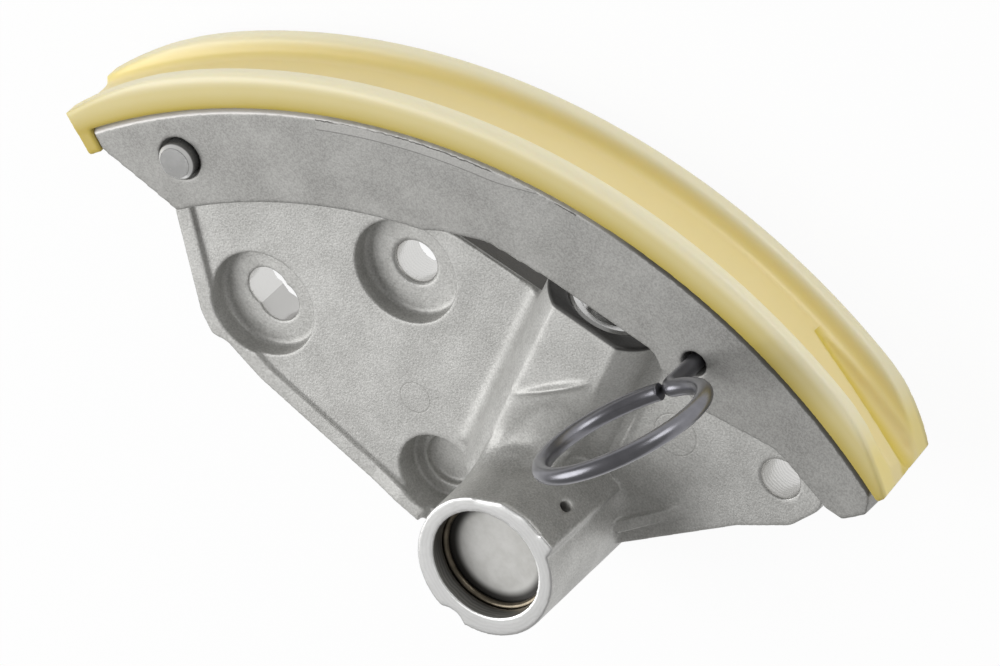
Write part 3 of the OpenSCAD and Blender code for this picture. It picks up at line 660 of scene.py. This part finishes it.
def steelMaterial(name, look):
    material, tree, shader = newMaterial(name)
    skin = useGroup(tree, grainGroup, Grain=steelGrain["grain"], Mottle=steelGrain["mottle"])
    colour = mixColour(tree, ramp(tree, skin["Cloud"], *steelGrain["clouds"]), look["dark"], look["light"])
    if "rings" in look:
        axis = useGroup(tree, axisGroup, CentreX=look["centre"][0], CentreY=look["centre"][1])
        # painted rings of highlight and shade
        for radius, soft, tone in look["rings"]:
            colour = mixColour(tree, ramp(tree, axis["Away"], radius, radius + soft), colour, tone)
    swing = steelGrain["roughSwing"]
    rough = mathNode(tree, "ADD", look["rough"] - swing / 2, scaled(tree, skin["Speck"], swing))
    bump = addNode(tree, "ShaderNodeBump", {"Height": skin["Height"], "Strength": steelGrain["bump"],
                                            "Distance": steelGrain["depth"]})
    tree.links.new(colour, shader.inputs["Base Color"])
    tree.links.new(rough, shader.inputs["Roughness"])
    tree.links.new(bump.outputs["Normal"], shader.inputs["Normal"])
    shader.inputs["Metallic"].default_value = look["metal"]
    return material


sealLook = {"dark": (0.015, 0.015, 0.016), "light": (0.035, 0.035, 0.036), "grain": 0.0003, "mottle": 0.002,
            "rough": 0.7}


def rubberMaterial():
    look = sealLook
    material, tree, shader = newMaterial("sealRubber")
    skin = useGroup(tree, grainGroup, Grain=look["grain"], Mottle=look["mottle"])
    tree.links.new(mixColour(tree, skin["Cloud"], look["dark"], look["light"]), shader.inputs["Base Color"])
    shader.inputs["Roughness"].default_value = look["rough"]
    return material


castHousing = housingMaterial()
castLever = leverMaterial()
shoePlastic = shoeMaterial()
steels = {name: steelMaterial(name, look) for name, look in steelLooks.items()}
sealRubber = rubberMaterial()
print("finishes made:", len(bpy.data.materials))

# pieces

ridgeTop = 17.25 * mm
housingForm = {
    "voxel": 0.22 * mm, "rounding": 8, "softRounding": 40, "triangles": 195000,
    "wave": 5 * mm, "waveDepth": 0.05 * mm,
    # drilled walls and the seats round them, and how much of the rounding they are spared
    "seat": {"reach": 9.2 * mm, "wallTop": 6.8 * mm, "wallSpared": 0.85, "seatSpared": 0.5},
    # the raised rim round the left of the plate
    "rim": {"height": 1.4 * mm, "end": 14.0 * mm, "fade": 5 * mm, "pinClear": 9 * mm, "drop": 0.4},
    # the low crest on the ridge
    "crest": {"start": (24.5 * mm, -1.5 * mm), "turn": math.radians(46.0), "length": 14.5 * mm,
              "thin": 0.7 * mm, "wide": 1.3 * mm, "reach": 2.2 * mm, "overrun": 0.1, "height": 1 * mm,
              "lift": 1.5, "fadeIn": 2.5, "fadeOut": 3.0},
    # the ridge right of the crest; start, end and their fades are shares of the crest's length
    "shoulder": {"sides": (24.0 * mm, 42.0 * mm), "foot": plateTop + 0.3 * mm, "top": ridgeTop + 1.2 * mm,
                 "axisZ": 9.0 * mm, "bore": 7.2 * mm, "wall": 7.45 * mm, "round": 6.0 * mm, "most": 4.8 * mm,
                 "start": -0.5, "startFade": 0.65, "end": 1.15, "endFade": 0.3,
                 "left": 26 * mm, "leftFade": 5 * mm},
    # the tube's side, the ridge's left flank and its right shoulder, which are rounded more
    "soft": {"tubeReach": (10.2 * mm, 14.0 * mm), "tubeZ": (plateTop + 3.0 * mm, tubeTop - 1.0 * mm),
             "flankX": (16.5 * mm, 27.5 * mm), "flankY": (-21 * mm, 12.5 * mm),
             "flankZ": (plateTop - 0.3 * mm, ridgeTop + 0.05 * mm),
             "shoulderX": (26 * mm, 41 * mm), "shoulderY": (-11 * mm, 14 * mm),
             "shoulderFoot": plateTop + 2 * mm, "boreClear": 0.1 * mm,
             "crestClear": 1.6 * mm, "crestFade": 1.2 * mm},
}


def besideCrest(point):
    # how far along the crest a point lies, as a share of its length, and how far to its right
    form = housingForm["crest"]
    wayX, wayY = math.cos(form["turn"]), math.sin(form["turn"])
    dx, dy = point.x - form["start"][0], point.y - form["start"][1]
    return (dx * wayX + dy * wayY) / form["length"], dx * wayY - dy * wayX


def fromCylinder(point):
    return math.hypot(point.x - pistonX, point.z - housingForm["shoulder"]["axisZ"])


def crispHole(point):
    # drilled walls and their seats stay sharper than the cast skin
    form = housingForm["seat"]
    for name in ("slotted_bolt_hole", "upper_bolt_hole"):
        away = math.hypot(point.x - mounts[name].x, point.y - mounts[name].y)
        if away < form["reach"]:
            return form["wallSpared"] if point.z < form["wallTop"] else form["seatSpared"]
    return 0.0


def softSide(point):
    form = housingForm["soft"]
    away = math.hypot(point.x - tubeX, point.y - tubeY)
    if between(away, form["tubeReach"]) and between(point.z, form["tubeZ"]):
        return 1.0
    onFlank = between(point.x, form["flankX"]) and between(point.y, form["flankY"])
    if onFlank and between(point.z, form["flankZ"]):
        return 1.0
    onShoulder = between(point.x, form["shoulderX"]) and between(point.y, form["shoulderY"])
    clearOfBore = fromCylinder(point) > housingForm["shoulder"]["bore"] + form["boreClear"]
    if onShoulder and clearOfBore and point.z > form["shoulderFoot"]:
        return clamped((besideCrest(point)[1] - form["crestClear"]) / form["crestFade"])
    return 0.0


def lowerRim(piece):
    # the raised rim is low and thin, apart from its stretch round the pin
    form = housingForm["rim"]
    for vertex in piece.data.vertices:
        rise = vertex.co.z - plateTop
        fromPin = math.hypot(vertex.co.x - pinX, vertex.co.y - pinY)
        if 0 < rise < form["height"] and vertex.co.x < form["end"] and fromPin > form["pinClear"]:
            fade = clamped((form["end"] - vertex.co.x) / form["fade"])
            vertex.co.z = plateTop + rise * (1.0 - fade * form["drop"])


def shapeShoulder(piece):
    # right of the crest the ridge falls away round the cylinder
    form = housingForm["shoulder"]
    for vertex in piece.data.vertices:
        x, z = vertex.co.x, vertex.co.z
        if not between(x, form["sides"]) or not form["foot"] <= z <= form["top"]:
            continue
        along, past = besideCrest(vertex.co)
        fade = clamped((along - form["start"]) / form["startFade"], (form["end"] - along) / form["endFade"],
                       (x - form["left"]) / form["leftFade"])
        if past <= 0 or fade <= 0 or fromCylinder(vertex.co) < form["bore"]:
            continue
        reach = form["wall"] ** 2 - (x - pistonX) ** 2
        lowest = form["axisZ"] + math.sqrt(reach) if reach > 0 else plateTop
        drop = min(past * past / (2 * form["round"]), form["most"], ridgeTop - lowest) * fade
        vertex.co.z = plateTop + (z - plateTop) * (1.0 - max(0.0, drop) / (ridgeTop - plateTop))


def shapeCrest(piece):
    # the crest starts thin, widens, and fades out at both ends
    form = housingForm["crest"]
    for vertex in piece.data.vertices:
        rise = vertex.co.z - ridgeTop
        if not 0 < rise < form["height"]:
            continue
        along, past = besideCrest(vertex.co)
        if between(along, (-form["overrun"], 1 + form["overrun"])) and abs(past) < form["reach"]:
            width = form["thin"] + (form["wide"] - form["thin"]) * along
            fade = clamped(form["fadeIn"] * along, form["fadeOut"] * (1.0 - along))
            vertex.co.z = ridgeTop + rise * form["lift"] * fade * max(0.0, 1.0 - abs(past) / width)


def makeHousing():
    form = housingForm
    piece = weldedCopy("housing", "housingCasting")
    remeshed(piece, form)
    shapeCrest(piece)
    shapeShoulder(piece)
    lowerRim(piece)
    crisp = groupPoints(piece, "crisp", crispHole)
    rounded(piece, form["rounding"], vertex_group=crisp, invert_vertex_group=True)
    rounded(piece, form["softRounding"], vertex_group=groupPoints(piece, "soft", softSide))
    unevenSkin(piece, "castWave", form["wave"], form["waveDepth"])
    settled(piece, form["triangles"])
    dress(piece, "housing", ["housing"], castHousing)


leverForm = {"voxel": 0.26 * mm, "rounding": 4, "triangles": 195000, "raggedSize": 0.9 * mm,
             "raggedDepth": 0.16 * mm, "raggedWidth": 0.8 * mm, "raggedInset": 0.4 * mm,
             "endPlace": (80.5 * mm, 18.6 * mm, 0.0), "endWay": (0.928, 0.371, 0.0)}


def raggedEdge(point):
    # how near a point lies to the torn stretch of the lever's upper outer edge
    form = leverForm
    dx, dy = point.x - arcCentre[0], point.y - arcCentre[1]
    if not between(math.atan2(dy, dx), stripTurns):
        return 0.0
    inward = abs(leverRadius - form["raggedInset"] - math.hypot(dx, dy)) / form["raggedWidth"]
    below = (leverTop - point.z) / form["raggedWidth"]
    return max(0.0, 1.0 - inward) * max(0.0, 1.0 - below)


def makeLever():
    form = leverForm
    piece = weldedCopy("lever", "leverCasting")
    trimmed(piece, form["endPlace"], form["endWay"])
    remeshed(piece, form)
    rounded(piece, form["rounding"])
    torn = groupPoints(piece, "torn", raggedEdge)
    unevenSkin(piece, "tornFlash", form["raggedSize"], form["raggedDepth"], vertex_group=torn)
    settled(piece, form["triangles"])
    dress(piece, "lever", ["lever"], castLever)


shoeForm = {"voxel": 0.29 * mm, "rounding": 6, "triangles": 195000,
            "endTurn": math.radians(60.3), "endReach": math.radians(2.4), "endLonger": 1.3 * mm}


def slantShoeEnd(piece):
    # the open end is cut at a slant, so the shoe is longest at its front wall
    form = shoeForm
    for vertex in piece.data.vertices:
        turn = math.atan2(vertex.co.y - arcCentre[1], vertex.co.x - arcCentre[0])
        near = 1.0 - (turn - form["endTurn"]) / form["endReach"]
        if near > 0:
            front = (vertex.co.z - shoeLow.z) / (shoeHigh.z - shoeLow.z)
            longer = form["endLonger"] * min(1.0, near) * front
            vertex.co.x += longer * math.sin(turn)
            vertex.co.y -= longer * math.cos(turn)


def makeShoe():
    form = shoeForm
    piece = weldedCopy("guide_shoe", "shoeMoulding")
    remeshed(piece, form)
    slantShoeEnd(piece)
    rounded(piece, form["rounding"])
    settled(piece, form["triangles"])
    dress(piece, "lever", ["guide_shoe"], shoePlastic)


wireForm = {"radius": 1.35 * mm, "ringRadius": 13.2 * mm, "bend": 2.2 * mm, "turn": math.radians(52.0),
            "endGap": math.radians(5.0), "bendSteps": 16, "ringSteps": 150, "roundSteps": 6,
            "endBevel": 0.3 * mm, "bevelSteps": 3, "bevelAngle": math.radians(60.0)}


def wireRoute():
    # up the pin, round the small bend and once round the ring
    form = wireForm
    low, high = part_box("lock_pin")
    ring, bend = form["ringRadius"], form["bend"]
    middle = high.z - form["radius"] - ring
    lead = math.asin(bend / (ring + bend))
    bendZ = middle - (ring + bend) * math.cos(lead)
    flat = [(0.0, low.z), (0.0, (low.z + bendZ) / 2)]
    for step in range(form["bendSteps"] + 1):
        angle = math.pi - (math.pi / 2 - lead) * step / form["bendSteps"]
        flat.append((bend + bend * math.cos(angle), bendZ + bend * math.sin(angle)))
    for step in range(1, form["ringSteps"] + 1):
        angle = lead - math.pi / 2 + (2 * math.pi - lead - form["endGap"]) * step / form["ringSteps"]
        flat.append((ring * math.cos(angle), middle + ring * math.sin(angle)))
    centre = middleOf("lock_pin")
    wayX, wayY = math.cos(form["turn"]), math.sin(form["turn"])
    return [(centre.x + out * wayX, centre.y + out * wayY, z) for out, z in flat]


def makeWire():
    form = wireForm
    route = wireRoute()
    curve = bpy.data.curves.new("lockWire", "CURVE")
    curve.dimensions = "3D"
    curve.bevel_depth = form["radius"]
    curve.bevel_resolution = form["roundSteps"]
    curve.use_fill_caps = True
    spline = curve.splines.new("POLY")
    spline.points.add(len(route) - 1)
    for point, place in zip(spline.points, route):
        point.co = (*place, 1.0)
    piece = bpy.data.objects.new("lockWire", curve)
    bpy.context.scene.collection.objects.link(piece)
    pick(piece)
    bpy.ops.object.convert(target="MESH")
    piece = bpy.context.active_object
    bpy.ops.object.mode_set(mode="EDIT")
    bpy.ops.mesh.select_all(action="SELECT")
    bpy.ops.mesh.remove_doubles(threshold=weldGap)
    bpy.ops.mesh.normals_make_consistent(inside=False)
    bpy.ops.object.mode_set(mode="OBJECT")
    applyModifier(piece, "BEVEL", width=form["endBevel"], segments=form["bevelSteps"], limit_method="ANGLE",
                  angle_limit=form["bevelAngle"])
    bpy.ops.object.shade_smooth()
    print(piece.name, "has", triangleCount(piece), "triangles")
    dress(piece, "lock_pin", ["lock_pin"], steels["drawnWire"])


makeHousing()
makeLever()
makeShoe()
makeWire()
nodeSteels = {"pivot_pin": "pinSteel", "piston": "pistonSteel", "piston_spring": "springSteel",
              "valve_seat": "groundSteel", "valve_ball": "groundSteel", "valve_cage": "groundSteel",
              "valve_spring": "springSteel", "bore_plug": "pressedDisc", "plug_ring": "ringSteel"}
for nodeName, steelName in nodeSteels.items():
    dressNode(nodeName, steels[steelName])
dressNode("plug_seal", sealRubber)
print("pieces dressed")

# camera, floor and light

cameraView = {
    "target": Vector((17.0 * mm, 0.7 * mm, 10.0 * mm)), "toCamera": (0.187, 0.639, 0.745),
    "up": (-0.558, 0.694, -0.454), "distance": 3.8, "width": 147.06 * mm, "sensor": 36.0,
    "clip": (0.05, 50.0),
}
floorLook = {"size": 6.0, "gap": 0.02 * mm, "tone": (0.86, 0.86, 0.86, 1), "rough": 0.9, "white": 0.95}
# lamps: to the right, up and towards the camera, with distance, size and power
lamps = {
    "keySoftbox": ((-0.951, -0.220, 0.207), 0.80, 0.70, 5.0),
    "topSoftbox": ((0.471, 0.481, 0.735), 0.60, 0.40, 1.55),
}
domeLook = {"tone": (1.0, 0.995, 0.98, 1), "strength": 0.31}


def makeCamera():
    view = cameraView
    back = Vector(view["toCamera"]).normalized()
    right = Vector(view["up"]).cross(back).normalized()
    up = back.cross(right)
    data = bpy.data.cameras.new("photoCamera")
    data.sensor_width = view["sensor"]
    data.lens = view["sensor"] * view["distance"] / view["width"]
    data.clip_start, data.clip_end = view["clip"]
    camera = bpy.data.objects.new("photoCamera", data)
    bpy.context.scene.collection.objects.link(camera)
    turn = Matrix((right, up, back)).transposed().to_4x4()
    camera.matrix_world = Matrix.Translation(view["target"] + back * view["distance"]) @ turn
    bpy.context.scene.camera = camera
    return right, up, back


def makeFloor():
    look = floorLook
    deselectAll()
    bpy.ops.mesh.primitive_plane_add(size=look["size"], location=(0, 0, cadBox[0].z - look["gap"]))
    floor = bpy.context.active_object
    floor.name = "paleFloor"
    material, tree, shader = newMaterial("palePaper")
    shader.inputs["Base Color"].default_value = look["tone"]
    shader.inputs["Roughness"].default_value = look["rough"]
    # seen as white, by the camera and in reflections, and still holding a little of the shadow
    paths = addNode(tree, "ShaderNodeLightPath").outputs
    seen = mathNode(tree, "MAXIMUM", paths["Is Camera Ray"], paths["Is Glossy Ray"])
    seen = mathNode(tree, "MAXIMUM", seen, paths["Is Transmission Ray"])
    white = addNode(tree, "ShaderNodeEmission", {"Color": (1, 1, 1, 1), "Strength": 1.0})
    mix = addNode(tree, "ShaderNodeMixShader", {0: scaled(tree, seen, look["white"])})
    tree.links.new(shader.outputs[0], mix.inputs[1])
    tree.links.new(white.outputs[0], mix.inputs[2])
    tree.links.new(mix.outputs[0], tree.nodes["Material Output"].inputs["Surface"])
    floor.data.materials.append(material)


def makeLamp(name, direction, away, size, power):
    data = bpy.data.lights.new(name, "AREA")
    data.shape = "DISK"
    data.size = size
    data.energy = power
    lamp = bpy.data.objects.new(name, data)
    bpy.context.scene.collection.objects.link(lamp)
    lamp.location = cameraView["target"] + direction.normalized() * away
    lamp.rotation_mode = "QUATERNION"
    lamp.rotation_quaternion = direction.to_track_quat("Z", "Y")


def makeWorld():
    world = bpy.data.worlds.new("studioDome")
    world.use_nodes = True
    background = world.node_tree.nodes["Background"]
    background.inputs["Color"].default_value = domeLook["tone"]
    background.inputs["Strength"].default_value = domeLook["strength"]
    bpy.context.scene.world = world


right, up, back = makeCamera()
makeFloor()
for name, (way, away, size, power) in lamps.items():
    makeLamp(name, right * way[0] + up * way[1] + back * way[2], away, size, power)
makeWorld()
bpy.context.scene.view_settings.view_transform = "Standard"
print("camera, floor and light placed")
